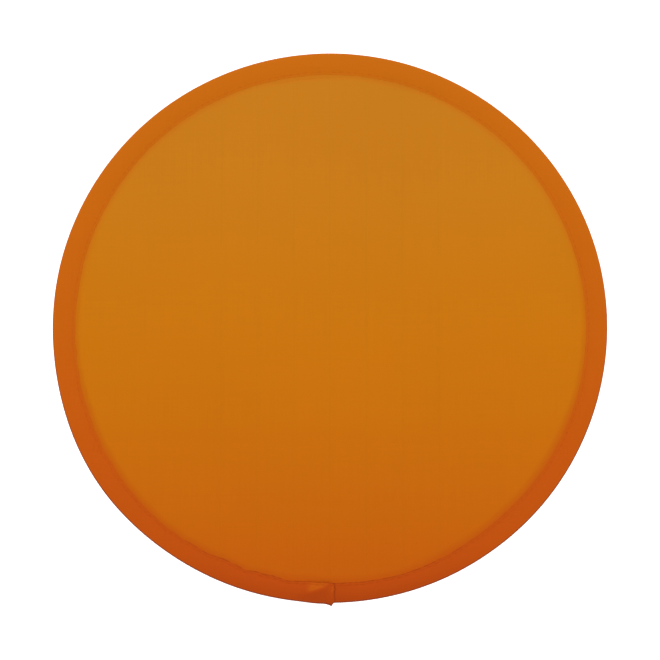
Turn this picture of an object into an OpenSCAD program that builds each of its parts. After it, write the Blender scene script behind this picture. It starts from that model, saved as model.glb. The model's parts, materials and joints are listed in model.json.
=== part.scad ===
// Foldable flying disc: one flat circle of nylon, bound all round with a folded nylon tape that
// holds a hoop of flat spring steel. The disc lies flat, upper side to +Z, with its centre over
// the origin and its lowest point at z = 0. The tape's join is on the -Y side, the hoop's on +Y.
//
// The hoop is springy, so the disc rolls up about the Y axis. For that motion the model is cut
// along lines of constant X into a centre strip and strips that are numbered outwards on each
// side. Each strip swings up on a hinge line just under the panel, and above the hinge lines the
// cuts widen to grooves that close when the disc is rolled up.

/* [Disc] */
// Diameter over the binding, mm
disc_d = 245; // [220:1:270]
// Thickness of the rim over the binding, mm
rim_h = 3; // [3:0.1:4]

/* [Panel] */
// Thickness of the nylon panel, mm
panel_t = 0.3; // [0.2:0.05:0.4]
// How far the panel reaches in under the binding, mm
panel_under = 6.4; // [3:0.1:7]

/* [Binding] */
// Width of the binding on each side of the disc, mm
tape_w = 9.9; // [9:0.1:12]
// Thickness of the binding tape, mm
tape_t = 0.25; // [0.15:0.05:0.3]
// Width of the stretch that lies flat on the panel, mm
tape_flat = 2.2; // [1.8:0.1:3]
// Bevel of the rim's edges, mm
rim_bevel = 0.5; // [0.3:0.1:0.6]

/* [Tape end] */
// Length of the end that laps over the start of the tape, mm
end_l = 7.5; // [5:0.1:7.5]
// Thickness of the end, which is turned under, mm
end_t = 0.3; // [0.2:0.05:0.4]
// Where the end stops, measured from the disc's centre line, mm
end_x = 0.7; // [0:0.1:0.7]
// How far the end's corner stands out past the rim, mm
end_tip = 0.9; // [0.3:0.1:1.2]

/* [Hoop] */
// Height of the hoop's flat spring steel, mm
hoop_h = 1.8; // [1.2:0.1:1.8]
// Thickness of the hoop's steel, mm
hoop_t = 0.5; // [0.3:0.05:0.5]
// Gap between the hoop's two ends, mm
hoop_gap = 0.4; // [0.2:0.1:1]
// Length of the ferrule that joins the hoop's ends, mm
ferrule_l = 14; // [8:1:15]
// Thickness of the ferrule's wall, mm
ferrule_t = 0.2; // [0.15:0.05:0.25]

/* [Stitching] */
// Diameter of the sewing thread, mm
thread_d = 0.3; // [0.2:0.05:0.3]
// Distance from the binding's inner edge to the seam, mm
seam_inset = 1; // [0.8:0.1:1.2]

/* [Folding] */
// Width of a strip between two hinge lines, mm
strip_w = 16; // [16:1:20]
// Number of hinge lines on each side
strips_a_side = 4; // [2:1:4]
// How far one hinge line folds, degrees
fold_angle = 22.5; // [10:0.5:22.5]
// How far the hinge lines lie below the panel's mid-plane, mm
hinge_drop = 0.35; // [0.2:0.05:0.35]

/* [Hidden] */
$fn = 180;
SIDES = [["right", 1], ["left", -1]];
// Each strip is its name, its side (+1 or -1, 0 in the middle) and its number counted outwards.
STRIPS = concat(
    [["centre", 0, 0]],
    [for (side = SIDES) for (i = [1 : strips_a_side]) [str(side[0], "_", i), side[1], i]]
);
CUT_PIECES = ["panel", "binding", "hoop", "needle_thread", "bobbin_thread"];

nylon = "#c8781a";
tape = "#be600f";
sewing_thread = "#b8590d";
steel = "#a9acb0";

disc_r = disc_d / 2;
mid_z = end_t + rim_h / 2;            // the panel's mid-plane
tape_r = disc_r - tape_w;             // the binding's inner edge
seam_r = tape_r + seam_inset;
seam_z = panel_t / 2 + tape_t;        // the binding's outer face at the seam, from the mid-plane
panel_r = tape_r + panel_under;
hoop_r = disc_r - tape_t - rim_bevel; // the hoop's outer face
shoulder_r = hoop_r - hoop_t - 0.55;  // where the binding starts to slope down to the seam
hinge_z = mid_z - hinge_drop;
groove_angle = fold_angle / 2 + 0.5;  // of each side of a groove, with a little to spare
beyond = disc_d;                      // reaches past everything

// A ring of rectangular section, with its height measured from the mid-plane.
module ring(r_in, r_out, z_low, z_high) {
    translate([0, 0, mid_z + z_low])
        difference() {
            cylinder(h = z_high - z_low, r = r_out);
            translate([0, 0, -1])
                cylinder(h = z_high - z_low + 2, r = r_in);
        }
}

// What of the children lies between two values of x. y_side keeps one half: -1, +1 or 0 for both.
module between_x(x_low, x_high, y_side = 0) {
    y_low = y_side > 0 ? 0 : -beyond;
    y_high = y_side < 0 ? 0 : beyond;
    intersection() {
        children();
        translate([x_low, y_low, -beyond / 2])
            cube([x_high - x_low, y_high - y_low, beyond]);
    }
}

// What of the children lies in one strip, between its cuts. Above the hinge lines each cut leans
// back by half a groove. The outermost strips run on to the rim.
module in_strip(strip) {
    near = (strip[2] - 0.5) * strip_w;
    far = strip[2] == strips_a_side ? beyond : near + strip_w;
    above = 10;
    lean = above * tan(groove_angle);
    intersection() {
        union() children();
        mirror([strip[1] < 0 ? 1 : 0, 0, 0])
            translate([0, beyond, hinge_z])
                rotate([90, 0, 0])
                    linear_extrude(2 * beyond)
                        polygon([
                            [near, -above], [near, 0], [near + lean, above],
                            [far - lean, above], [far, 0], [far, -above]
                        ]);
    }
}

// The binding's section above the mid-plane, from its inner edge to its outer side. grow moves it
// outwards from the face that shows: minus the tape's thickness is the face that is hidden.
function section_above(grow) = [
    [tape_r, seam_z + grow],
    [tape_r + tape_flat, seam_z + grow],
    [shoulder_r, rim_h / 2 + grow],
    [disc_r - rim_bevel, rim_h / 2 + grow],
    [disc_r + grow, rim_h / 2 - rim_bevel]
];
function turned_over(points) = [for (i = [len(points) - 1 : -1 : 0]) [points[i][0], -points[i][1]]];
function backwards(points) = [for (i = [len(points) - 1 : -1 : 0]) points[i]];
function section_all(grow) = concat(section_above(grow), turned_over(section_above(grow)));

// A layer of tape that is folded over the rim, between two values of grow.
module folded_layer(grow_in, grow_out) {
    translate([0, 0, mid_z])
        rotate_extrude()
            polygon(concat(section_all(grow_out), backwards(section_all(grow_in))));
}

module panel(strip) {
    color(nylon)
        in_strip(strip)
            translate([0, 0, mid_z - panel_t / 2])
                cylinder(h = panel_t, r = panel_r);
}

module binding(strip) {
    color(tape)
        in_strip(strip)
            folded_layer(-tape_t, 0);
}

// The turned-under end of the tape, lapped over its start, with one corner standing out.
module binding_end() {
    tip_l = 3;
    color(tape) {
        between_x(end_x - end_l, end_x, -1)
            folded_layer(0, end_t);
        translate([end_x, 0, mid_z - end_t / 2])
            linear_extrude(end_t)
                polygon([
                    [-tip_l, -disc_r - end_t / 2],
                    [0, -disc_r - end_t / 2],
                    [0, -disc_r - end_t - end_tip],
                    [-tip_l / 4, -disc_r - end_t - end_tip / 2]
                ]);
    }
}

module hoop(strip) {
    color(steel)
        difference() {
            in_strip(strip)
                ring(hoop_r - hoop_t, hoop_r, -hoop_h / 2, hoop_h / 2);
            if (strip[1] == 0)
                translate([-hoop_gap / 2, 0, 0])
                    cube([hoop_gap, beyond, beyond]);
        }
}

// The crimped sleeve around the hoop's two ends.
module hoop_ferrule() {
    color(steel)
        between_x(-ferrule_l / 2, ferrule_l / 2, 1)
            difference() {
                ring(
                    hoop_r - hoop_t - ferrule_t, hoop_r + ferrule_t,
                    -hoop_h / 2 - ferrule_t, hoop_h / 2 + ferrule_t
                );
                ring(hoop_r - hoop_t, hoop_r, -hoop_h / 2, hoop_h / 2);
            }
}

// A thread that lies on the binding, face up (+1) or face down (-1), over the seam.
module thread_on(face, lift, height) {
    z_near = face * (seam_z + lift);
    z_far = face * (seam_z + lift + height);
    ring(seam_r - thread_d / 2, seam_r + thread_d / 2, min(z_near, z_far), max(z_near, z_far));
}

// The thread's climb over the tape's end, with a riser at each side.
module thread_climb(face) {
    low = end_x - end_l;
    between_x(low - thread_d, low, -1)
        thread_on(face, 0, end_t + thread_d);
    between_x(end_x, end_x + thread_d, -1)
        thread_on(face, 0, end_t + thread_d);
    between_x(low - thread_d, end_x + thread_d, -1)
        thread_on(face, end_t, thread_d);
}

module thread(strip, face) {
    color(sewing_thread)
        if (strip[1] != 0) {
            in_strip(strip)
                thread_on(face, 0, thread_d);
        } else {
            in_strip(strip)
                between_x(-strip_w, strip_w, 1)
                    thread_on(face, 0, thread_d);
            in_strip(strip)
                between_x(-strip_w, end_x - end_l, -1)
                    thread_on(face, 0, thread_d);
            in_strip(strip)
                between_x(end_x, strip_w, -1)
                    thread_on(face, 0, thread_d);
            thread_climb(face);
        }
}

module needle_thread(strip) {
    thread(strip, 1);
}

module bobbin_thread(strip) {
    thread(strip, -1);
}

for (strip = STRIPS) {
    panel(strip);
    binding(strip);
    hoop(strip);
    needle_thread(strip);
    bobbin_thread(strip);
}
binding_end();
hoop_ferrule();
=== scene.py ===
"""Foldable flying disc: a round panel of thin orange nylon, bound with a folded nylon tape that is
sewn on and holds a hoop of flat spring steel. The upper side is +Z and the tape's join is at -Y.

The disc rolls up about the Y axis, so every piece is made in eight parts, cut along lines of
constant X spaced as the frame's hinge lines.
"""
import json
import math

import bmesh
import bpy
import numpy as np
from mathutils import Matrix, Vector, noise


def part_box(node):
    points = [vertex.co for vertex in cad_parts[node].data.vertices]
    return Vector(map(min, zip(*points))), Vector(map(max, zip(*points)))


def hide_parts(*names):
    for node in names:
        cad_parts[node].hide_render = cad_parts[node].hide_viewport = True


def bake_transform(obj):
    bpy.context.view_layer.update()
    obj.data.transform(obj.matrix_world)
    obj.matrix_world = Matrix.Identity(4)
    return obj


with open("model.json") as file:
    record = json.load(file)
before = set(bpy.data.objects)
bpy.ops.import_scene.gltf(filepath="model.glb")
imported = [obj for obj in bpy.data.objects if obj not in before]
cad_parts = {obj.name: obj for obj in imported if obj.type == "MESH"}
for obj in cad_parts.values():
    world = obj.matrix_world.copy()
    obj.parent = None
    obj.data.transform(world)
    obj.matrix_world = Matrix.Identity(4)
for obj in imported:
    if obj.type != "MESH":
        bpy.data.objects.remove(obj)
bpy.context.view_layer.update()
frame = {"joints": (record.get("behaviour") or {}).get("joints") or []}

MM = 0.001
TURN = 2 * math.pi

# ---- Sizes from the frame
panel_low, panel_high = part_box("panel_centre")
hoop_low, hoop_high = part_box("hoop_right_4")
ferrule_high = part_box("hoop_ferrule")[1]
HINGES = {joint["child"]: joint for joint in frame["joints"]}
STRIP = HINGES["right_2"]["pos_m"][0] - HINGES["right_1"]["pos_m"][0]
STRIPS_A_SIDE = len(HINGES) // 2
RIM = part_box("binding_centre")[1].y
MID_Z = (panel_low.z + panel_high.z) / 2
PANEL_R = panel_high.y
HOOP_R = hoop_high.x
HOOP_H = hoop_high.z - hoop_low.z
HOOP_T = 0.5 * MM           # a hoop's box doesn't give its thickness
FERRULE_HALF = ferrule_high.x
FERRULE_T = ferrule_high.y - HOOP_R

# ---- The tape
TAPE_W = 9.9 * MM           # from its inner edge to the rim
TAPE_EDGE = RIM - TAPE_W
TAPE_T = 0.2 * MM
SEAM_R = TAPE_EDGE + 1.0 * MM
LAP_FROM = -15 * MM         # where the tape's end starts to rise over its start
LAP_TOP = 0.9 * MM          # where the end starts to round down
LAP_END = 1.9 * MM          # where the end stops
LAP_FULL = -4 * MM          # from here on the end lies wholly on the start
LAP_RISE = 0.4 * MM
FOLD_RISE = 0.75 * MM       # height of the slanting fold on the end
FOLD_REACH = 4.2 * MM       # how far the fold slopes down on each side of its ridge
FOLD_ROUND = 0.7 * MM       # how round its ridge is
START_HIDDEN = -7 * MM      # how far the start runs on under the end
TIP = 1.0 * MM              # how far the end's corner stands out
COLUMN = 0.8 * MM           # length of a face along the rim
JOIN_COLUMN = 0.32 * MM     # the same near the tape's join
NEAR_JOIN = 17 * MM         # the first parts on both sides of the join end within this
PAINTED_SHADING_HALF = 20 * MM         # half the stretch that the join's painted light and shade is on
SECTION_ROWS = 19           # points from the inner edge over the top to the rim
LOWER_SEED = 50.0           # gives the tape's lower side its own unevenness

# The tape's upper face in section, in mm: distance out from the inner edge, height from the middle.
TAPE_SECTION = (
    (0.0, 0.14), (0.5, 0.24), (1.0, 0.30), (1.8, 0.48), (3.0, 0.84), (4.6, 1.17), (6.4, 1.34),
    (8.0, 1.33), (9.0, 1.20), (9.5, 0.98), (9.8, 0.55), (9.9, 0.0),
)

# Where the rim and the tape's inner edge stand out from a circle: how far in mm, in which direction
# in degrees clockwise from +Y, and how wide the place is in degrees.
RIM_BUMPS = ((1.15, 236, 19), (0.35, 203, 14), (0.16, 70, 22))
EDGE_BUMPS = ((0.7, 115, 28), (1.6, 167, 18), (1.1, 213, 17), (-0.35, 283, 24),
              (0.8, 197.3, 1.6), (-0.4, 201, 2), (0.55, 188.4, 1.8))

# ---- Where the parts meet
TONGUE = 0.35 * MM          # a part runs on this far inside the next, so that no light shows between
SUNK = 0.04 * MM            # how far each face of that tongue lies below the next part's face


def smooth(low, high, value):
    """0 at low and beyond, 1 at high and beyond, and a smooth step between them, which falls if low
    is above high. It takes numbers and arrays."""
    t = np.clip((value - low) / (high - low), 0.0, 1.0)
    return t * t * (3 - 2 * t)


def around(angle, size, seed):
    """Smooth noise along the rim, about -1 to 1, with bumps about as long as size."""
    k = RIM / size
    place = Vector((math.sin(angle) * k, math.cos(angle) * k, seed))
    return 1.6 * noise.noise(place)


STEPS_BETWEEN = 12          # a spline's fine steps from one given point to the next


def spline(points, count):
    """A smooth line through points, as an array of count points spaced evenly along it."""
    p = np.array(points, float)
    p = np.vstack([2 * p[0] - p[1], p, 2 * p[-1] - p[-2]])
    line = []
    for a, b, c, d in zip(p[:-3], p[1:-2], p[2:-1], p[3:]):
        for t in np.linspace(0, 1, STEPS_BETWEEN, endpoint=False):
            line.append(0.5 * (2 * b + (c - a) * t + (2 * a - 5 * b + 4 * c - d) * t * t
                               + (3 * b - a - 3 * c + d) * t ** 3))
    line = np.array(line + [p[-2]])
    run = np.concatenate([[0], np.cumsum(np.linalg.norm(np.diff(line, axis=0), axis=1))])
    even = np.linspace(0, run[-1], count)
    return np.stack([np.interp(even, run, line[:, k]) for k in range(line.shape[1])], axis=1)


# ---- Meshes
SHARP = math.radians(50)    # an edge that is bent more than this looks sharp


def finish_mesh(name, verts, faces, maps, material, shades=None, weld=0.0):
    """An object from plain lists. maps holds UV layers, each with a pair of numbers per vertex, and
    shades holds single numbers per vertex, for the material."""
    mesh = bpy.data.meshes.new(name)
    mesh.from_pydata([tuple(v) for v in verts], [], [tuple(int(i) for i in f) for f in faces])
    corner = np.zeros(len(mesh.loops), np.int32)
    mesh.loops.foreach_get("vertex_index", corner)
    for title, values in maps.items():
        layer = mesh.uv_layers.new(name=title)
        layer.data.foreach_set("uv", np.asarray(values, np.float32)[corner].ravel())
    for title, values in (shades or {}).items():
        shade = mesh.attributes.new(title, "FLOAT", "POINT")
        shade.data.foreach_set("value", np.asarray(values, np.float32))
    bm = bmesh.new()
    bm.from_mesh(mesh)
    if weld:
        bmesh.ops.remove_doubles(bm, verts=bm.verts, dist=weld)
    bmesh.ops.recalc_face_normals(bm, faces=bm.faces)
    for face in bm.faces:
        face.smooth = True
    for edge in bm.edges:
        edge.smooth = edge.calc_face_angle(0.0) < SHARP
    bm.to_mesh(mesh)
    bm.free()
    mesh.materials.append(material)
    piece = bpy.data.objects.new(name, mesh)
    bpy.context.scene.collection.objects.link(piece)
    return piece


def grid_faces(columns, rows, first, flip, wrap=False):
    """The four-sided faces of a grid of vertices that starts at index first."""
    faces = []
    for i in range(columns - 1):
        for j in range(rows if wrap else rows - 1):
            after = (j + 1) % rows
            a, b = first + i * rows + j, first + (i + 1) * rows + j
            d, c = first + i * rows + after, first + (i + 1) * rows + after
            faces.append((a, d, c, b) if flip else (a, b, c, d))
    return faces


def shell(outer, inner, first=0, wrap=False):
    """Vertices and faces of a thin closed layer between two grids of points."""
    columns, rows = outer.shape[:2]
    count = columns * rows
    verts = np.concatenate([outer.reshape(-1, 3), inner.reshape(-1, 3)])
    faces = grid_faces(columns, rows, first, False, wrap)
    faces += grid_faces(columns, rows, first + count, True, wrap)
    border = []
    for j in range(rows if wrap else rows - 1):
        after = (j + 1) % rows
        border.append((j, after))
        border.append(((columns - 1) * rows + after, (columns - 1) * rows + j))
    if not wrap:
        for i in range(columns - 1):
            border.append(((i + 1) * rows, i * rows))
            border.append((i * rows + rows - 1, (i + 1) * rows + rows - 1))
    faces += [(first + a, first + b, first + count + b, first + count + a) for a, b in border]
    return verts, faces


def flat_map(verts):
    """Where each vertex lies on the flat disc, from 0 to 1 over the disc's diameter."""
    return np.asarray(verts)[:, :2] / (2 * RIM) + 0.5


# ---- The cuts. A line is a value of x and a half of the disc, +1 for +Y and -1 for -Y.
def clock(line, radius):
    """The angle, clockwise from +Y, at which a line of constant x meets a circle."""
    x, half = line
    turn = math.asin(x / radius)
    return turn % TURN if half > 0 else math.pi - turn


def clock_between(start, end, share, radius):
    """The angle a share of the way clockwise from one line to the next, on a circle."""
    a, b = clock(start, radius), clock(end, radius)
    if b < a:
        b += TURN
    return a + (b - a) * share


def arms(side, number):
    """The stretches of rim that one part has, each as the line it starts and the line it ends at."""
    near, far = (number - 1) * STRIP, number * STRIP
    if side == "right":
        if number == STRIPS_A_SIDE:
            return [((near, 1), (near, -1))]
        return [((near, 1), (far, 1)), ((far, -1), (near, -1))]
    if number == STRIPS_A_SIDE:
        return [((-near, -1), (-near, 1))]
    return [((-near, -1), (-far, -1)), ((-far, 1), (-near, 1))]


def arm_length(arm):
    """How long an arm is on the rim."""
    return abs(clock_between(*arm, 1.0, RIM) - clock_between(*arm, 0.0, RIM)) * RIM


def arm_steps(arm, size):
    """Shares of the way along an arm, about size apart on the rim."""
    return np.linspace(0, 1, max(2, round(arm_length(arm) / size) + 1))


def tongues(side, arm):
    """Shares just past those ends of an arm where it runs on inside the next part: its outer end,
    and on the right also its end on the disc's centre line at +Y."""
    past = TONGUE / arm_length(arm)
    (x, half), (other, _) = arm
    before = abs(x) > abs(other) or (x == 0 and half > 0 and side == "right")
    return ([-past] if before else []), ([1 + past] if abs(other) > abs(x) else [])


def lay_out(arm, share, radius_z, slant=None):
    """Points of a section, given as radius and height, at a share of the way along an arm. slant
    moves them along the rim."""
    points = []
    slant = np.zeros(len(radius_z)) if slant is None else slant
    for (radius, height), along in zip(radius_z, slant):
        angle = clock_between(*arm, share, radius) + along / radius
        points.append((radius * math.sin(angle), radius * math.cos(angle), MID_Z + height))
    return points


# ---- The tape's section at each place round the rim
BASE_SECTION = spline(TAPE_SECTION, SECTION_ROWS) * MM
SECTION_RUN = np.concatenate([
    [0], np.cumsum(np.linalg.norm(np.diff(BASE_SECTION, axis=0), axis=1))])


def sum_of_bumps(angle, bumps):
    """How far a place on the rim stands out, in mm, from a list of bumps."""
    total = 0.0
    for size, centre, width in bumps:
        off = (math.degrees(angle) - centre + 180) % 360 - 180
        total += size * math.exp(-(off / width) ** 2)
    return total


def out_of_round(angle):
    """How far the hoop, and all that hangs on it, stands out from a true circle."""
    return MM * (sum_of_bumps(angle, RIM_BUMPS) + 0.10 * around(angle, 55 * MM, 9.0))


def low_left(angle):
    """1 on the stretch of rim where the cloth is gathered most, and 0 elsewhere."""
    return float(smooth(0.35, 0.9, -math.cos(angle) * 0.8 - math.sin(angle) * 0.6))


def tape_edge(angle, upper=True):
    """Radius of the tape's inner edge, which is cut and sewn a little unevenly. On the lower side it
    reaches further in."""
    seed = 0.0 if upper else LOWER_SEED
    edge = 0.2 + sum_of_bumps(angle, EDGE_BUMPS)
    edge += 0.14 * around(angle, 30 * MM, 3.0 + seed)
    edge += (0.10 + 0.22 * low_left(angle)) * around(angle, 5.5 * MM, 5.0 + seed)
    if not upper:
        low_half = float(smooth(0.1, -0.5, math.cos(angle)))
        edge -= 1.2 + 1.2 * low_half + 0.4 * around(angle, 22 * MM, 31.0)
    return TAPE_EDGE + edge * MM + out_of_round(angle)


def tape_section(angle, x, upper):
    """Radius and height of one side of the tape, from the inner edge to the rim."""
    u, z = BASE_SECTION[:, 0].copy(), BASE_SECTION[:, 1].copy()
    seed = 0.0 if upper else LOWER_SEED
    near_edge = 1 - smooth(0, 6 * MM, u)
    round_off = out_of_round(angle)
    radius = TAPE_EDGE + u + round_off + (tape_edge(angle, upper) - TAPE_EDGE - round_off) * near_edge

    # Puckers from the seam, and slow swells over the hoop, with their heights in mm.
    pucker = around(angle, 4.5 * MM, 12.0 + seed) * (0.045 + 0.06 * low_left(angle))
    pucker += around(angle, 11 * MM, 15.0 + seed) * 0.05
    over_seam = smooth(0.2 * MM, 1.6 * MM, u) * (1 - smooth(3 * MM, 6.5 * MM, u))
    swell = around(angle, 26 * MM, 18.0 + seed) * 0.06
    over_hoop = smooth(2 * MM, 5 * MM, u) * (1 - smooth(7.5 * MM, 9.6 * MM, u))
    z += MM * (pucker * over_seam + swell * over_hoop)

    # The sleeve on the hoop's join pushes the tape out a little.
    if math.cos(angle) > 0:
        sleeve = float(smooth(FERRULE_HALF + 3 * MM, FERRULE_HALF - 1 * MM, abs(x)))
        z += 0.16 * MM * sleeve * smooth(6.5 * MM, 8.2 * MM, u) * smooth(0.1 * MM, 0.5 * MM, z)
    return radius, z


def lap_fold(x):
    """How far out from the tape's edge the slanting fold on its end lies, at a value of x."""
    past = max(0.0, 0.2 * MM - x)
    return 1.2 * MM + 6.3 * MM * (1 - math.exp(-past / (8.0 * MM)))


def lap_shape(radius, z, x, upper):
    """Lays the tape's end over its start, with a slanting fold on top and one corner out."""
    u = radius - TAPE_EDGE
    rise = float(smooth(LAP_FROM, LAP_FULL, x) * (1 - 0.8 * smooth(LAP_TOP, LAP_END, x))) * LAP_RISE
    rim_share = smooth(8.6 * MM, 9.85 * MM, u)
    rise = rise * (0.3 + 0.7 * smooth(0, 1.3 * MM, u))
    radius = radius + rise * rim_share
    z = z + rise * (1 - rim_share) + rise * 0.4 * rim_share * smooth(0.0, 0.3 * MM, z)
    if upper:
        off = np.hypot(u - lap_fold(x), FOLD_ROUND) - FOLD_ROUND
        ridge = np.clip(1 - off / FOLD_REACH, 0, 1)
        fade = float(smooth(LAP_FROM, -7 * MM, x) * (1 - smooth(0, LAP_TOP, x)))
        z = z + FOLD_RISE * ridge * fade * smooth(0.6 * MM, 2.0 * MM, u) * (1 - rim_share)
    corner = np.clip((x + 3.2 * MM) / (3.8 * MM), 0, 1) ** 2 * float(smooth(1.5 * MM, 0.6 * MM, x))
    radius = radius + TIP * corner * smooth(8.8 * MM, 9.9 * MM, u)
    return radius, z


def end_slant(radius, x, lapped):
    """How far each point of the tape's end is set back along the rim, so that the end isn't straight."""
    u = radius - TAPE_EDGE
    wave = (0.14 * np.sin(u / (0.8 * MM)) + 0.08 * np.sin(u / (0.37 * MM))) * MM    # slow and quick
    set_back = 0.85 * MM * (1 - smooth(0.3 * MM, 2.6 * MM, u)) + wave
    return set_back * float(smooth(-2 * MM, 1.5 * MM, x)) if lapped else np.zeros(len(radius))


def join_painted_shading(radius, x, lapped):
    """Painted light and shade at the tape's join: above 0 for painted light, below 0 for painted shade
    in folds and painted shadow.
    """
    u = radius - TAPE_EDGE
    if not lapped:
        if x < 0:
            return np.zeros(len(u))
        # The start of the tape, in the shadow of the end that lies on it.
        edge = LAP_END - end_slant(radius, LAP_END, True)
        wide = (0.45 + 0.5 * (1 - smooth(0.4 * MM, 2.5 * MM, u))) * MM
        near = 1 - np.clip((x - edge) / wide - 0.4, 0, 1)
        depth = 0.8 - 0.3 * smooth(5 * MM, 8 * MM, u)
        return -depth * near * smooth(0, 0.8 * MM, u) - 0.12 * float(smooth(13 * MM, 3 * MM, x))
    # The end: painted light on a facet inside the fold, painted shade on the slope outside it, a painted
    # highlight on its lip and painted shadow at its foot.
    off = u - lap_fold(x)
    along = float(smooth(-11 * MM, -7.5 * MM, x) * (1 - smooth(-0.8 * MM, 0.2 * MM, x)))
    light = along * smooth(1.0 * MM, 1.8 * MM, u) * smooth(0.5 * MM, -1.0 * MM, off)
    dark = smooth(-0.6 * MM, 1.6 * MM, off) * (1 - 0.4 * smooth(2 * MM, 6 * MM, off))
    dark = dark * float(smooth(-19 * MM, -7 * MM, x) * (1 - 0.7 * smooth(-2.0 * MM, 0.5 * MM, x)))
    foot = 0.6 * float(smooth(1.6 * MM, LAP_END, x))
    lip = float(smooth(0.2 * MM, 0.6 * MM, x) * (1 - smooth(1.3 * MM, 1.6 * MM, x)))
    lip = lip * smooth(6.5 * MM, 4.5 * MM, u) * smooth(0.8 * MM, 1.6 * MM, u)
    return 0.80 * light - 0.30 * dark * (1 - lip) + 0.25 * lip - foot


def tape_column(arm, share, lapped):
    """The outer and inner points of the whole folded section, its painted light and shade at the join,
    its slant, and its angle.
    """
    angle = clock_between(*arm, share, RIM)
    x = RIM * math.sin(angle)
    at_join = math.cos(angle) < 0 and abs(x) < PAINTED_SHADING_HALF
    sides, painted_shadings, slants = [], [], []
    for upper in (True, False):
        radius, z = tape_section(angle, x, upper)
        if lapped:
            radius, z = lap_shape(radius, z, x, upper)
        sides.append(np.stack([radius, z if upper else -z], axis=1))
        painted_shadings.append(join_painted_shading(radius, x, lapped) if at_join else np.zeros(len(radius)))
        slants.append(end_slant(radius, x, lapped))
    section = np.concatenate([sides[0], sides[1][::-1][1:]])
    tint = np.concatenate([painted_shadings[0], painted_shadings[1][::-1][1:] * 0.5])
    slant = np.concatenate([slants[0], slants[1][::-1][1:]])
    along = np.gradient(section, axis=0)
    inward = np.stack([along[:, 1], -along[:, 0]], axis=1)
    inward = inward / np.linalg.norm(inward, axis=1)[:, None]
    return section, section + inward * TAPE_T, tint, slant, angle


def tape_part(name, arm_list, material, side=None, lapped_arm=None):
    """One part of the tape: a closed thin layer for each stretch of rim that the part has. Without
    a side it has no tongues. lapped_arm is the stretch that ends in the tape's end."""
    verts, faces, weave, painted_shadings = [], [], [], []
    half_run = SECTION_RUN[-1]
    run = np.concatenate([SECTION_RUN, 2 * half_run - SECTION_RUN[::-1][1:]])
    for arm in arm_list:
        lapped = arm == lapped_arm
        outer, inner, places, shades = [], [], [], []
        near_join = all(half < 0 and abs(x) < NEAR_JOIN for x, half in arm)
        before, after = tongues(side, arm) if side else ([], [])
        for share in [*before, *arm_steps(arm, JOIN_COLUMN if near_join else COLUMN), *after]:
            section, inside, tint, slant, angle = tape_column(arm, share, lapped)
            sunk = (inside - section) * (SUNK / TAPE_T if share < 0 or share > 1 else 0)
            outer.append(lay_out(arm, share, section + sunk, slant))
            inner.append(lay_out(arm, share, inside - sunk, slant))
            places.append([(angle / TURN, across / (2 * half_run)) for across in run])
            shades.append(tint)
        found, more = shell(np.array(outer), np.array(inner), len(verts))
        verts.extend(found)
        faces.extend(more)
        weave.extend(np.array(places + places).reshape(-1, 2))
        painted_shadings.extend(np.array(shades + shades).ravel())
    maps = {"rest": flat_map(verts), "weave": weave}
    return finish_mesh(name, verts, faces, maps, material, {"tint": painted_shadings})


# ---- The panel
PANEL_T = 0.12 * MM
PANEL_ROWS = 151            # points from rim to rim in Y
PANEL_COLUMN = 1.6 * MM
HELD = (108 * MM, 112.4 * MM)       # over these radii the tape takes hold of the panel
GATHERED = (98 * MM, 109 * MM)      # over these radii the seam starts to gather it


def panel_height(x, y):
    """The small unevenness of the cloth, which the taut hoop leaves."""
    radius = math.hypot(x, y)
    angle = math.atan2(x, y)
    free = 1 - float(smooth(*HELD, radius))
    slow = 0.10 * noise.noise(Vector((x / (70 * MM), y / (52 * MM), 2.0)))
    slow += 0.035 * noise.noise(Vector((x / (19 * MM), y / (19 * MM), 7.0)))
    near_seam = float(smooth(*GATHERED, radius))
    gather = 0.05 * around(angle, 6 * MM, 21.0) + 0.05 * around(angle, 13 * MM, 24.0)
    return MM * free * (slow + near_seam * gather)


def inset_from_tape(x, y):
    """How far inside the edge of the tape's lower side a point of the panel lies, in mm."""
    angle = math.atan2(x, y)
    return (tape_edge(angle, upper=False) - math.hypot(x, y)) / MM


def panel_part(name, side, number, material):
    """One part of the panel, as a closed thin layer. Its columns run from rim to rim in Y."""
    sign = 1 if side == "right" else -1
    near, far = (number - 1) * STRIP, number * STRIP
    shares = np.linspace(-1, 1, PANEL_ROWS)
    columns, sunk = [], []
    if number < STRIPS_A_SIDE:
        before = [near - TONGUE] if number == 1 and side == "right" else []
        for x in [*before, *np.linspace(near, far, round(STRIP / PANEL_COLUMN) + 1), far + TONGUE]:
            half = math.sqrt(PANEL_R ** 2 - x * x)
            columns.append([(sign * x, half * s) for s in shares])
            sunk.append(0 if near <= x <= far else SUNK)
    else:
        half = math.sqrt(PANEL_R ** 2 - near ** 2)
        half_turn = math.atan2(half, near)
        for t in np.linspace(0, 1, round((PANEL_R - near) / PANEL_COLUMN) + 1):
            line = []
            for s in shares:
                arc = (PANEL_R * math.cos(s * half_turn), PANEL_R * math.sin(s * half_turn))
                x = near + (arc[0] - near) * t
                y = half * s + (arc[1] - half * s) * t
                line.append((sign * x, y))
            columns.append(line)
            sunk.append(0)
    if sign < 0:
        columns.reverse()
        sunk.reverse()
    heights = [[panel_height(x, y) for x, y in line] for line in columns]
    place = np.array(columns, float)
    rise = np.array(heights)[:, :, None]
    thick = PANEL_T / 2 - np.array(sunk)[:, None, None]
    top = np.concatenate([place, MID_Z + rise + thick], axis=2)
    bottom = np.concatenate([place, MID_Z + rise - thick], axis=2)
    verts, faces = shell(top, bottom)
    maps = {"rest": flat_map(verts), "weave": flat_map(verts)}
    inset = [[inset_from_tape(x, y) for x, y in line] for line in columns]
    inset = np.tile(np.array(inset).ravel(), 2)
    return finish_mesh(name, verts, faces, maps, material, {"inset": inset}, weld=0.001 * MM)


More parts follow.
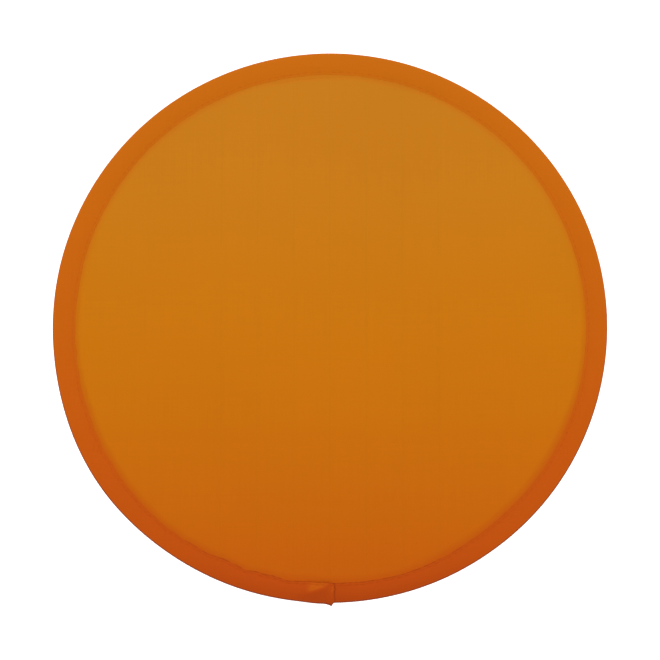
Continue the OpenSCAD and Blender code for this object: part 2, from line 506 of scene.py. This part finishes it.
# ---- Hoop, sleeve and stitches
HOOP_CORNER = 0.12 * MM
SLEEVE_CORNER = 0.22 * MM
SLEEVE_CLEAR = 0.02 * MM    # how much wider than the hoop the sleeve is inside
CRIMPS = (2.2 * MM, 4.8 * MM)   # the sleeve's pressed lines, on both sides of its middle


def rounded_box(width, height, corner):
    """A closed outline, as offsets in radius and height."""
    w, h, c = width / 2, height / 2, corner
    return [(-w, -h + c), (-w + c, -h), (w - c, -h), (w, -h + c),
            (w, h - c), (w - c, h), (-w + c, h), (-w, h - c)]


def hoop_part(name, arm_list, material):
    outline = rounded_box(HOOP_T, HOOP_H, HOOP_CORNER)
    middle = HOOP_R - HOOP_T / 2
    verts, faces, maps = [], [], []
    for arm in arm_list:
        first, rows = len(verts), len(outline)
        steps = arm_steps(arm, 2 * MM)
        for share in steps:
            out = out_of_round(clock_between(*arm, share, RIM))
            verts += lay_out(arm, share, [(middle + out + r, z) for r, z in outline])
            maps += [(clock_between(*arm, share, RIM) / TURN, j / rows) for j in range(rows)]
        faces += grid_faces(len(steps), rows, first, False, wrap=True)
        faces.append(tuple(first + j for j in range(rows)))
        faces.append(tuple(first + (len(steps) - 1) * rows + j for j in range(rows))[::-1])
    return finish_mesh(name, verts, faces, {"rest": flat_map(verts), "weave": maps}, material)


def sleeve_part(name, arm, material):
    outer_line = rounded_box(HOOP_T + 2 * FERRULE_T, HOOP_H + 2 * FERRULE_T, SLEEVE_CORNER)
    inner_line = rounded_box(HOOP_T + SLEEVE_CLEAR, HOOP_H + SLEEVE_CLEAR, HOOP_CORNER)
    middle = HOOP_R - HOOP_T / 2
    outer, inner, maps = [], [], []
    for share in arm_steps(arm, 0.5 * MM):
        angle = clock_between(*arm, share, RIM)
        x, out = RIM * math.sin(angle), middle + out_of_round(angle)
        crimp = 0.05 * MM * sum(math.exp(-((abs(x) - at) / (0.6 * MM)) ** 2) for at in CRIMPS)
        squeeze = 1 - crimp / (HOOP_H / 2)
        outer.append(lay_out(arm, share, [(out + r, z * squeeze) for r, z in outer_line]))
        inner.append(lay_out(arm, share, [(out + r, z) for r, z in inner_line]))
        maps += [(x / RIM, j / len(outer_line)) for j in range(len(outer_line))]
    verts, faces = shell(np.array(outer), np.array(inner), wrap=True)
    return finish_mesh(name, verts, faces, {"rest": flat_map(verts), "weave": maps + maps}, material)


STITCH = 3.2 * MM
STITCH_RINGS = 7            # a stitch's rings of vertices, along it
THREAD_R = 0.12 * MM
THREAD_SIDES = 6


def stitches_part(name, arm_list, material, upper, lapped_arm=None):
    """The stitches of one thread along the seam, each a short bead of thread that dips at its ends."""
    verts, faces, maps = [], [], []
    seam_row = int(np.argmin(abs(BASE_SECTION[:, 0] - (SEAM_R - TAPE_EDGE))))
    for arm in arm_list:
        lapped = arm == lapped_arm
        joints = arm_steps(arm, STITCH)
        for begin, end in zip(joints[:-1], joints[1:]):
            first = len(verts)
            for t in np.linspace(0.06, 0.94, STITCH_RINGS):
                share = begin + (end - begin) * t
                section, _, _, slant, _ = tape_column(arm, share, lapped)
                row = seam_row if upper else -1 - seam_row
                radius, height = section[row]
                up = 1 if upper else -1
                bow = math.sin(math.pi * t)     # 1 in the middle of the stitch, near 0 at its ends
                centre = height + up * (0.13 * bow - 0.08) * MM
                girth = THREAD_R * (0.72 + 0.28 * bow)
                ring = []
                for k in range(THREAD_SIDES):
                    a = TURN * k / THREAD_SIDES
                    ring.append((radius + girth * math.cos(a), centre + girth * math.sin(a)))
                verts += lay_out(arm, share, ring, np.full(THREAD_SIDES, slant[row]))
                maps += [(t, k / THREAD_SIDES) for k in range(THREAD_SIDES)]
            faces += grid_faces(STITCH_RINGS, THREAD_SIDES, first, False, wrap=True)
            last = first + (STITCH_RINGS - 1) * THREAD_SIDES
            faces.append(tuple(first + k for k in range(THREAD_SIDES)))
            faces.append(tuple(last + k for k in range(THREAD_SIDES))[::-1])
    return finish_mesh(name, verts, faces, {"rest": flat_map(verts), "weave": maps}, material)


# ---- Materials
# A colour that changes from -Y to +Y is a list of places, from 0 to 1, with their colours. On the
# panel and the tape these hold the cloth's own orange with painted light and shade: lighter and
# yellower towards +Y, darker and redder towards -Y.
PANEL_COLOURS = [
    (0.03, (0.590, 0.116, 0.0018)), (0.15, (0.602, 0.146, 0.0018)), (0.32, (0.618, 0.179, 0.0018)),
    (0.52, (0.625, 0.204, 0.0018)), (0.72, (0.618, 0.216, 0.007)), (0.97, (0.608, 0.225, 0.011)),
]
TAPE_COLOURS = [
    (0.0, (0.475, 0.060, 0.0018)), (0.1, (0.518, 0.079, 0.0018)), (0.3, (0.55, 0.095, 0.0018)),
    (0.5, (0.56, 0.115, 0.0018)), (0.75, (0.572, 0.136, 0.0022)), (1.0, (0.570, 0.144, 0.0028)),
]
THROUGH_SHADE_COLOUR = (0.615, 0.088, 0.002)       # painted shade of the tape's lower side, seen through the panel
LIT_COLOUR = (0.75, 0.098, 0.002)           # the same on the +Y half, where more light comes through
FACET_LIGHT_COLOUR = (0.56, 0.112, 0.002)     # painted light on the facet of the tape's end
SHADED_COLOUR = (0.28, 0.028, 0.002)        # painted shade in the folds of the tape's end
EDGE_SHADE_COLOUR = (0.26, 0.035, 0.002)        # painted shade along the tape's inner edge
OUTER_SHADE_COLOUR = (0.26, 0.03, 0.002)          # painted shade on the outer part of the tape, near its join
RIM_SHADE_COLOUR = (0.13, 0.02, 0.004)           # painted shade along the tape's fold, at the rim
PAPER_COLOUR = (0.86, 0.86, 0.86)
BLACK, WHITE = (0.0, 0.0, 0.0), (1.0, 1.0, 1.0)
PANEL_WEAVE, TAPE_WEAVE = (220, 220), (690, 19)     # both put the threads 0.35 mm apart


def grey(level):
    return (level,) * 3


class Shader:
    """A material's nodes. node() makes one: inputs are numbers, colours or other nodes' outputs."""

    def __init__(self, name):
        self.material = bpy.data.materials.new(name)
        self.material.use_nodes = True
        self.tree = self.material.node_tree
        self.tree.nodes.clear()

    def node(self, kind, inputs=None, **settings):
        made = self.tree.nodes.new(kind)
        for key, value in settings.items():
            setattr(made, key, value)
        for key, value in (inputs or {}).items():
            if isinstance(value, bpy.types.NodeSocket):
                self.tree.links.new(value, made.inputs[key])
            else:
                made.inputs[key].default_value = value
        return made

    def math(self, operation, a, b=0.0, c=0.0, clamp=False):
        made = self.node("ShaderNodeMath", {0: a, 1: b, 2: c}, operation=operation, use_clamp=clamp)
        return made.outputs[0]

    def uv(self, layer):
        return self.node("ShaderNodeUVMap", uv_map=layer).outputs["UV"]

    def scaled(self, vector, x, y):
        return self.node("ShaderNodeMapping", {"Vector": vector, "Scale": (x, y, 1.0)}).outputs["Vector"]

    def noise(self, vector, scale, detail=2.0):
        made = self.node("ShaderNodeTexNoise", {"Vector": vector, "Scale": scale, "Detail": detail})
        return made.outputs["Fac"]

    def ramp(self, value, stops, interpolation="LINEAR"):
        """A colour that changes with value. stops are (position, (red, green, blue))."""
        made = self.node("ShaderNodeValToRGB", {"Fac": value})
        made.color_ramp.interpolation = interpolation
        elements = made.color_ramp.elements
        while len(elements) < len(stops):
            elements.new(0.5)
        for element, (position, colour) in zip(elements, stops):
            element.position = position
            element.color = (*colour, 1.0)
        return made.outputs["Color"]

    def mix(self, share, a, b, blend_type="MIX"):
        made = self.node("ShaderNodeMix", data_type="RGBA", blend_type=blend_type)
        sockets = {"Factor": made.inputs[0], "A": made.inputs[6], "B": made.inputs[7]}
        for key, value in (("Factor", share), ("A", a), ("B", b)):
            if isinstance(value, bpy.types.NodeSocket):
                self.tree.links.new(value, sockets[key])
            else:
                sockets[key].default_value = value if key == "Factor" else (*value, 1.0)
        return made.outputs[2]

    def output(self, surface):
        self.node("ShaderNodeOutputMaterial", {"Surface": surface})
        return self.material


def brightness(shader, colour, value, low, high):
    """Multiplies a colour by a number between low and high, as value goes from 0 to 1."""
    factor = shader.ramp(value, [(0.25, grey(low)), (0.75, grey(high))])
    return shader.mix(1.0, colour, factor, "MULTIPLY")


def weave_height(shader, vector, across_x, across_y):
    """The height of a plain weave: threads one way and the other, in and out of each other."""
    inputs = {"Vector": shader.scaled(vector, across_x, across_y), "Scale": 1.0, "Distortion": 0.0}
    waves = []
    for direction in ("X", "Y"):
        wave = shader.node("ShaderNodeTexWave", inputs, wave_type="BANDS", wave_profile="SIN",
                           bands_direction=direction)
        waves.append(wave.outputs["Fac"])
    return shader.math("MULTIPLY", *waves)


def nylon(name, gradient, weave_scale, through):
    """Thin woven nylon. gradient is its colour from -Y to +Y, its own orange with painted light and
    shade, weave_scale is how fine its weave map is each way, and through is how much of it lets light
    pass."""
    s = Shader(name)
    rest, weave = s.uv("rest"), s.uv("weave")
    along = s.node("ShaderNodeSeparateXYZ", {"Vector": rest}).outputs["Y"]
    # Painted light and shade: the colour is lighter towards +Y and darker towards -Y.
    colour = s.ramp(along, gradient, "B_SPLINE")
    colour = brightness(s, colour, s.noise(rest, 4.0), 0.985, 1.015)
    colour = brightness(s, colour, s.noise(s.scaled(rest, 380, 7), 1.0), 0.988, 1.012)
    colour = brightness(s, colour, s.noise(s.scaled(rest, 7, 380), 1.0), 0.988, 1.012)
    low_half = s.ramp(along, [(0.35, WHITE), (0.62, BLACK)])
    if name == "panel_nylon":
        # Next to the tape: painted shade of the tape's lower side seen through the cloth on the -Y half,
        # and painted light on the other half.
        inset = s.node("ShaderNodeAttribute", attribute_name="inset").outputs["Fac"]
        inset = s.math("MULTIPLY_ADD", inset, 0.2, 0.5)
        through_shade = s.ramp(inset, [(0.05, WHITE), (0.70, BLACK)])
        strength = s.math("MULTIPLY", low_half, 0.60)
        colour = s.mix(s.math("MULTIPLY", through_shade, strength), colour, THROUGH_SHADE_COLOUR)
        lit = s.ramp(inset, [(0.28, WHITE), (0.78, BLACK)])
        strength = s.math("MULTIPLY_ADD", low_half, -0.24, 0.24)
        colour = s.mix(s.math("MULTIPLY", lit, strength), colour, LIT_COLOUR)
    else:
        # from_edge is 0 at both edges of the folded tape and 0.5 at the rim. The painted shade is a dark
        # line at the edges, a darker outer part beside the tape's join at the bottom, and a darker rim.
        across = s.node("ShaderNodeSeparateXYZ", {"Vector": weave}).outputs["Y"]
        from_edge = s.math("MINIMUM", across, s.math("SUBTRACT", 1.0, across))
        edge_shade = s.ramp(from_edge, [(0.0, WHITE), (0.012, grey(0.9)), (0.024, BLACK)])
        broken = s.ramp(s.noise(rest, 110.0, 1.0), [(0.40, grey(0.15)), (0.60, WHITE)])
        near_join = s.ramp(along, [(0.05, grey(0.62)), (0.12, grey(0.22)), (0.25, BLACK)])
        edge_shade = s.math("MULTIPLY", edge_shade, near_join)
        colour = s.mix(s.math("MULTIPLY", edge_shade, broken), colour, EDGE_SHADE_COLOUR)
        bottom = s.ramp(along, [(0.0, WHITE), (0.085, BLACK)])
        outer = s.ramp(from_edge, [(0.12, BLACK), (0.40, WHITE)])
        outer = s.math("MULTIPLY", s.math("MULTIPLY", outer, bottom), 0.24)
        colour = s.mix(outer, colour, OUTER_SHADE_COLOUR)
        # Painted shade along the rim, stronger on the -Y half.
        rim_shade = s.ramp(from_edge, [(0.438, BLACK), (0.465, WHITE)])
        rim_shade = s.math("MULTIPLY", rim_shade, s.math("MULTIPLY_ADD", low_half, 0.62, 0.18))
        colour = s.mix(rim_shade, colour, RIM_SHADE_COLOUR)
        # Painted light and painted shade at the tape's join.
        tint = s.node("ShaderNodeAttribute", attribute_name="tint").outputs["Fac"]
        colour = s.mix(s.math("MULTIPLY", tint, 0.9, clamp=True), colour, FACET_LIGHT_COLOUR)
        colour = s.mix(s.math("MULTIPLY", tint, -0.75, clamp=True), colour, SHADED_COLOUR)
    height = weave_height(s, weave, *weave_scale)
    bump = s.node("ShaderNodeBump", {"Height": height, "Strength": 0.25, "Distance": 0.06 * MM})
    normal = bump.outputs["Normal"]
    cloth = s.node("ShaderNodeBsdfPrincipled", {
        "Base Color": colour, "Roughness": 0.6, "Specular IOR Level": 0.06, "Sheen Weight": 0.02,
        "Sheen Roughness": 0.4, "Normal": normal})
    glow = s.node("ShaderNodeBsdfTranslucent", {"Color": colour, "Normal": normal})
    mixed = s.node("ShaderNodeMixShader", {0: through, 1: cloth.outputs[0], 2: glow.outputs[0]})
    return s.output(mixed.outputs[0])


def thread_material():
    s = Shader("sewing_thread")
    weave = s.uv("weave")
    ply = s.node("ShaderNodeTexWave", {"Vector": s.scaled(weave, 3.0, 1.0), "Scale": 1.0},
                 bands_direction="DIAGONAL").outputs["Fac"]
    along = s.node("ShaderNodeSeparateXYZ", {"Vector": s.uv("rest")}).outputs["Y"]
    # The thread takes the tape's colour, with its painted light and shade from -Y to +Y.
    colour = brightness(s, s.ramp(along, TAPE_COLOURS, "B_SPLINE"), ply, 0.90, 1.02)
    bump = s.node("ShaderNodeBump", {"Height": ply, "Strength": 0.5, "Distance": 0.04 * MM})
    made = s.node("ShaderNodeBsdfPrincipled", {
        "Base Color": colour, "Roughness": 0.5, "Specular IOR Level": 0.08,
        "Normal": bump.outputs["Normal"]})
    return s.output(made.outputs[0])


def steel_material():
    s = Shader("spring_steel")
    weave = s.uv("weave")
    grain = s.noise(s.scaled(weave, 30, 900), 1.0)
    colour = s.ramp(grain, [(0.3, (0.50, 0.50, 0.51)), (0.7, (0.62, 0.62, 0.63))])
    rough = s.ramp(grain, [(0.0, grey(0.28)), (1.0, grey(0.42))])
    made = s.node("ShaderNodeBsdfPrincipled", {
        "Base Color": colour, "Roughness": rough, "Metallic": 1.0})
    return s.output(made.outputs[0])


panel_nylon = nylon("panel_nylon", PANEL_COLOURS, PANEL_WEAVE, through=0.22)
tape_nylon = nylon("tape_nylon", TAPE_COLOURS, TAPE_WEAVE, through=0.10)
sewing_thread = thread_material()
spring_steel = steel_material()


for side in ("right", "left"):
    for number in range(1, STRIPS_A_SIDE + 1):
        strip = f"{side}_{number}"
        at_join = number == 1
        arm_list = arms(side, number)
        lapped_arm = None
        if at_join and side == "left":
            arm_list[0] = ((LAP_END, -1), arm_list[0][1])
            lapped_arm = arm_list[0]
        cloth = panel_part(f"cloth_{strip}", side, number, panel_nylon)
        tape = tape_part(f"tape_{strip}", arm_list, tape_nylon, side, lapped_arm)
        spring = hoop_part(f"spring_{strip}", arms(side, number), spring_steel)
        needle = stitches_part(f"needle_stitches_{strip}", arm_list, sewing_thread, True, lapped_arm)
        bobbin = stitches_part(f"bobbin_stitches_{strip}", arm_list, sewing_thread, False, lapped_arm)
        made = [(cloth, "panel", "panel_nylon"), (tape, "binding", "binding_nylon"),
                (spring, "hoop", "spring_steel"), (needle, "needle_thread", "sewing_thread"),
                (bobbin, "bobbin_thread", "sewing_thread")]
        if at_join:
            from_x, to_x = (0.0, FERRULE_HALF) if side == "right" else (-FERRULE_HALF, 0.0)
            sleeve = sleeve_part(f"ferrule_{side}", ((from_x, 1), (to_x, 1)), spring_steel)
            made.append((sleeve, "hoop_ferrule", "spring_steel"))
            if side == "left":
                start = tape_part("tape_start", [((0.0, -1), (START_HIDDEN, -1))], tape_nylon)
                made.append((start, "binding_end", "binding_nylon"))
        for piece, node, slot in made:
            if node in ("hoop_ferrule", "binding_end"):
                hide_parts(node)
            else:
                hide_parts(f"{node}_{strip}")
                if at_join:
                    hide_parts(f"{node}_centre")
            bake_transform(piece)
        sum(arm_length(arm) for arm in arm_list)

# ---- Floor, light and camera
FLOOR = 6                   # from the middle to each side
floor_corners = [(-FLOOR, -FLOOR, 0), (FLOOR, -FLOOR, 0), (FLOOR, FLOOR, 0), (-FLOOR, FLOOR, 0)]
floor_mesh = bpy.data.meshes.new("floor")
floor_mesh.from_pydata(floor_corners, [], [(0, 1, 2, 3)])
floor = bpy.data.objects.new("floor", floor_mesh)
bpy.context.scene.collection.objects.link(floor)
paper = Shader("pale_floor")
paper_surface = paper.node("ShaderNodeBsdfPrincipled", {
    "Base Color": (*PAPER_COLOUR, 1.0), "Roughness": 0.9, "Specular IOR Level": 0.0,
    "Emission Color": (*WHITE, 1.0), "Emission Strength": 0.8})
floor_mesh.materials.append(paper.output(paper_surface.outputs[0]))

STUDIO_LIGHT = 1.03         # strength of the even light from all round
world = bpy.data.worlds.new("studio")
world.use_nodes = True
background = world.node_tree.nodes["Background"]
background.inputs["Color"].default_value = (*WHITE, 1.0)
background.inputs["Strength"].default_value = STUDIO_LIGHT
bpy.context.scene.world = world

SOFTBOX_PLACE = Vector((0, 0.95, 1.25))
SOFTBOX_SIZE, SOFTBOX_WATTS = 1.2, 4.0
key = bpy.data.lights.new("softbox", "AREA")
key.size = SOFTBOX_SIZE
key.energy = SOFTBOX_WATTS
softbox = bpy.data.objects.new("softbox", key)
softbox.location = SOFTBOX_PLACE
softbox.rotation_euler = SOFTBOX_PLACE.to_track_quat("Z", "Y").to_euler()
bpy.context.scene.collection.objects.link(softbox)

CAMERA_AWAY = 1.2           # from the target
ELEVATION = math.radians(82.3)
TARGET = Vector((0, -2.5 * MM, 1.8 * MM))
SENSOR, FOCAL_LENGTH = 36, 148.2    # in mm
lens = bpy.data.cameras.new("camera")
lens.sensor_width = SENSOR
lens.lens = FOCAL_LENGTH
camera = bpy.data.objects.new("camera", lens)
back = Vector((0, -math.cos(ELEVATION), math.sin(ELEVATION)))
camera.location = TARGET + back * CAMERA_AWAY
camera.rotation_mode = "QUATERNION"
camera.rotation_quaternion = back.to_track_quat("Z", "Y")
bpy.context.scene.collection.objects.link(camera)
bpy.context.scene.camera = camera
bpy.context.scene.view_settings.view_transform = "Standard"
